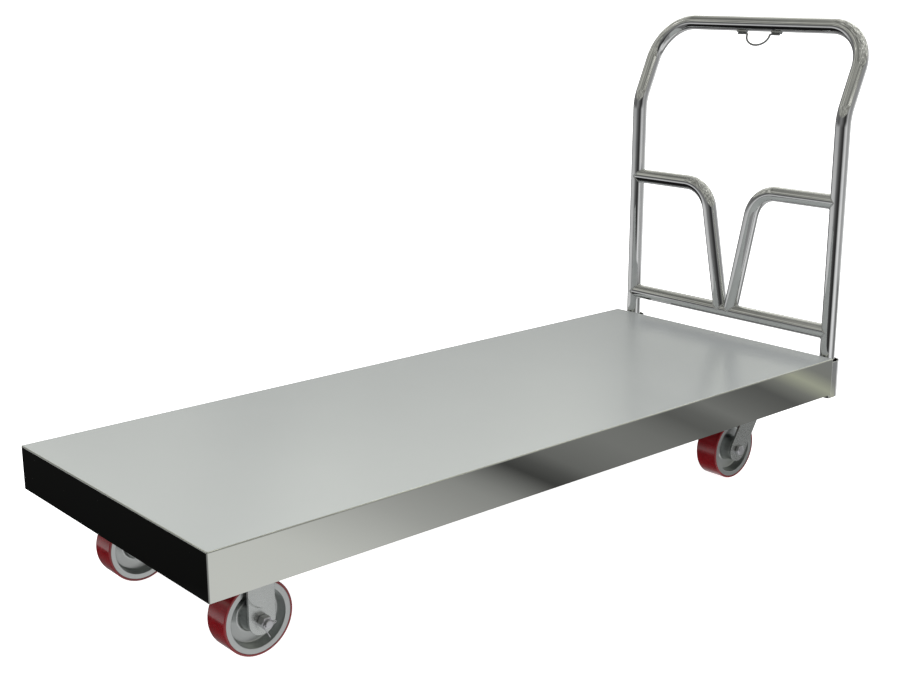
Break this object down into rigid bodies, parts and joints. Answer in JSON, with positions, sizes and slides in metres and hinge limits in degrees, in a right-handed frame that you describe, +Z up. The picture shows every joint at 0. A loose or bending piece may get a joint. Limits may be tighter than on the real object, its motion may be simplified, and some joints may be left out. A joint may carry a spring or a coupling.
{
  "type": "platform luggage truck",
  "caption": "Steel platform luggage truck: flat folded deck, plated tube handle with V braces in two sockets, rigid and swivel casters.",
  "frame": {"origin": "on the floor, under the middle of the whole truck's box", "axes": "+Z up, +X along the deck towards the handle, +Y across the deck to the right of a person pushing"},
  "size_m": [1.6413, 0.6096, 0.94],
  "materials": {
    "deck_steel": "satin, fine brushed",
    "frame_steel": "mill finish",
    "plated_tube": "bright plated",
    "caster_steel": "matte zinc grey",
    "wheel_core": "matte grey",
    "red_tread": "semi-gloss polyurethane",
    "fastener_steel": "zinc plated"
  },
  "bodies": {
    "deck": {"deck_pan": "deck_steel", "caster_channel_load_end": "frame_steel", "caster_channel_handle_end": "frame_steel", "deck_stiffener_left": "frame_steel", "deck_stiffener_middle": "frame_steel", "deck_stiffener_right": "frame_steel", "handle_socket_left": "plated_tube", "handle_socket_right": "plated_tube", "socket_floor_left": "frame_steel", "socket_floor_right": "frame_steel", "rigid_left_fork": "caster_steel", "rigid_left_axle_bolt": "fastener_steel", "rigid_left_axle_nut": "fastener_steel", "rigid_left_cotter_pin": "fastener_steel", "rigid_left_spanner_bushing": "fastener_steel", "swivel_left_top_plate": "caster_steel", "swivel_left_ball_race": "fastener_steel", "swivel_left_kingpin": "fastener_steel", "swivel_left_kingpin_nut": "fastener_steel", "rigid_right_fork": "caster_steel", "rigid_right_axle_bolt": "fastener_steel", "rigid_right_axle_nut": "fastener_steel", "rigid_right_cotter_pin": "fastener_steel", "rigid_right_spanner_bushing": "fastener_steel", "swivel_right_top_plate": "caster_steel", "swivel_right_ball_race": "fastener_steel", "swivel_right_kingpin": "fastener_steel", "swivel_right_kingpin_nut": "fastener_steel"},
    "handle": {"handle_loop": "plated_tube", "lower_crossbar": "plated_tube", "side_arm_left": "plated_tube", "side_arm_right": "plated_tube", "hanger_loop": "plated_tube", "hanger_foot_left": "plated_tube", "hanger_foot_right": "plated_tube"},
    "rigid_wheel_left": {"rigid_left_wheel_core": "wheel_core", "rigid_left_tread": "red_tread", "rigid_left_roller_bearing": "fastener_steel"},
    "swivel_fork_left": {"swivel_left_fork": "caster_steel", "swivel_left_axle_bolt": "fastener_steel", "swivel_left_axle_nut": "fastener_steel", "swivel_left_spanner_bushing": "fastener_steel"},
    "swivel_wheel_left": {"swivel_left_wheel_core": "wheel_core", "swivel_left_tread": "red_tread", "swivel_left_roller_bearing": "fastener_steel"},
    "rigid_wheel_right": {"rigid_right_wheel_core": "wheel_core", "rigid_right_tread": "red_tread", "rigid_right_roller_bearing": "fastener_steel"},
    "swivel_fork_right": {"swivel_right_fork": "caster_steel", "swivel_right_axle_bolt": "fastener_steel", "swivel_right_axle_nut": "fastener_steel", "swivel_right_spanner_bushing": "fastener_steel"},
    "swivel_wheel_right": {"swivel_right_wheel_core": "wheel_core", "swivel_right_tread": "red_tread", "swivel_right_roller_bearing": "fastener_steel"}
  },
  "joints": [
    {"name": "handle_lift", "type": "slide", "parent": "deck", "child": "handle", "axis": [0, 0, 1], "range_m": [0, 0.12]},
    {"name": "rigid_wheel_left_roll", "type": "hinge", "parent": "deck", "child": "rigid_wheel_left", "pos_m": [-0.67871, -0.1843, 0.0635], "axis": [0, 1, 0], "continuous": true},
    {"name": "swivel_left_turn", "type": "hinge", "parent": "deck", "child": "swivel_fork_left", "pos_m": [0.55429, -0.1793, 0.1452], "axis": [0, 0, 1], "continuous": true},
    {"name": "swivel_wheel_left_roll", "type": "hinge", "parent": "swivel_fork_left", "child": "swivel_wheel_left", "pos_m": [0.51229, -0.1793, 0.0635], "axis": [0, 1, 0], "continuous": true},
    {"name": "rigid_wheel_right_roll", "type": "hinge", "parent": "deck", "child": "rigid_wheel_right", "pos_m": [-0.67871, 0.1843, 0.0635], "axis": [0, 1, 0], "continuous": true},
    {"name": "swivel_right_turn", "type": "hinge", "parent": "deck", "child": "swivel_fork_right", "pos_m": [0.55429, 0.1793, 0.1452], "axis": [0, 0, 1], "continuous": true},
    {"name": "swivel_wheel_right_roll", "type": "hinge", "parent": "swivel_fork_right", "child": "swivel_wheel_right", "pos_m": [0.51229, 0.1793, 0.0635], "axis": [0, 1, 0], "continuous": true}
  ]
}
